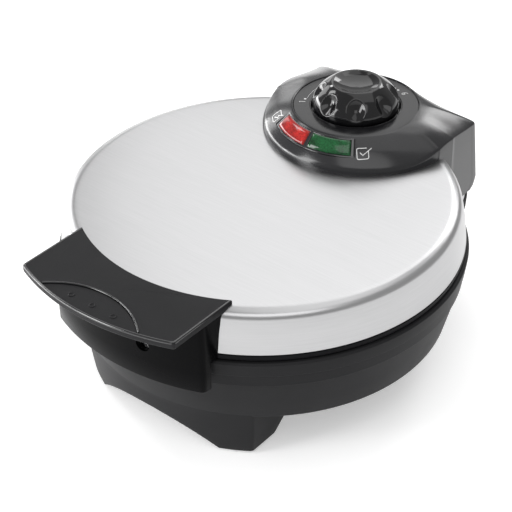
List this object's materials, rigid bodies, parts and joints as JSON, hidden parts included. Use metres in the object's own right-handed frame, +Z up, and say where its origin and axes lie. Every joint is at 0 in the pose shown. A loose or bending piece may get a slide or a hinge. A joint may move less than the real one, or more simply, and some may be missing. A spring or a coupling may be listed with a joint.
{
  "type": "electric waffle maker",
  "caption": "Round electric waffle maker: hinged steel-topped lid with a front handle, a rear control housing with dial and lamps, and a dark base on feet around grid plates.",
  "frame": {"origin": "on the table under the middle of the object's outer box; the lid's axis stands 3.65 mm behind it", "axes": "+Z up, +Y from the handle at the front to the hinge and the controls at the back, +X to the right seen from the front"},
  "size_m": [0.236, 0.2842, 0.1366],
  "materials": {
    "base_plastic": "satin moulded",
    "rim_plastic": "satin moulded",
    "pad_rubber": "matt",
    "hinge_plastic": "satin moulded",
    "pin_steel": "satin",
    "sleeve_fibre": "woven sleeving",
    "gland_plastic": "matt",
    "plate_coating": "dark non-stick coating on cast metal",
    "screw_steel": "zinc plated",
    "element_sheath": "heat-stained",
    "clip_steel": "satin",
    "reflector_sheet": "mill finish",
    "block_plastic": "matt",
    "terminal_brass": "satin",
    "fuse_body": "matt",
    "wire_jacket": "braided",
    "lid_steel": "linear brushed",
    "ring_plastic": "gloss",
    "bracket_steel": "satin black",
    "handle_plastic": "fine textured top, gloss skirt",
    "thumb_plastic": "fine textured",
    "housing_plastic": "satin gloss",
    "dial_plastic": "satin",
    "bezel_plastic": "gloss",
    "red_plastic": "translucent, faceted",
    "green_plastic": "translucent, faceted",
    "holder_plastic": "matt",
    "lamp_glass": "clear",
    "thermostat_body": "matt",
    "pin_ceramic": "matt",
    "knob_plastic": "gloss side, satin dished top",
    "shaft_brass": "satin",
    "spring_steel": "satin"
  },
  "bodies": {
    "base": {"base_shell": "base_plastic", "base_rim": "rim_plastic", "foot_pads": "pad_rubber", "hinge_ears": "hinge_plastic", "wire_bridge": "hinge_plastic", "hinge_pins": "pin_steel", "wire_sleeve": "sleeve_fibre", "cord_gland": "gland_plastic", "lower_plate": "plate_coating", "lower_plate_screws": "screw_steel", "lower_element": "element_sheath", "lower_element_clips": "clip_steel", "lower_reflector": "reflector_sheet", "terminal_block": "block_plastic", "terminal_screws": "terminal_brass", "thermal_fuse": "fuse_body", "base_wiring": "wire_jacket"},
    "lid": {"lid_cover": "lid_steel", "lid_ring": "ring_plastic", "upper_plate": "plate_coating", "upper_plate_screws": "screw_steel", "upper_element": "element_sheath", "upper_element_clips": "clip_steel", "upper_reflector": "reflector_sheet", "hinge_bracket": "bracket_steel", "bracket_screws": "screw_steel", "lid_handle": "handle_plastic", "thumb_pad": "thumb_plastic", "handle_screws": "screw_steel", "control_housing": "housing_plastic", "housing_screws": "screw_steel", "dial_plate": "dial_plastic", "lamp_bezel": "bezel_plastic", "red_lens": "red_plastic", "green_lens": "green_plastic", "lamp_holder": "holder_plastic", "indicator_lamps": "lamp_glass", "thermostat": "thermostat_body", "thermostat_bracket": "clip_steel", "thermostat_screws": "screw_steel", "lid_wiring": "wire_jacket"},
    "pin": {"pressure_pin": "pin_ceramic"},
    "dial": {"knob": "knob_plastic", "knob_shaft": "shaft_brass", "knob_clip": "spring_steel"}
  },
  "joints": [
    {"name": "lid_hinge", "type": "hinge", "parent": "base", "child": "lid", "pos_m": [0, 0.13115, 0.0555], "axis": [-1, 0, 0], "range_deg": [0, 100]},
    {"name": "knob_turn", "type": "hinge", "parent": "lid", "child": "dial", "pos_m": [0, 0.09215, 0.12], "axis": [0, 0, -1], "range_deg": [0, 175]},
    {"name": "pin_slide", "type": "slide", "parent": "lid", "child": "pin", "axis": [0, 0, -1], "range_m": [0, 0.0008]}
  ],
  "couplings": [
    {"joint": "pin_slide", "follows": "knob_turn", "m_per_rad": 0.00026}
  ]
}
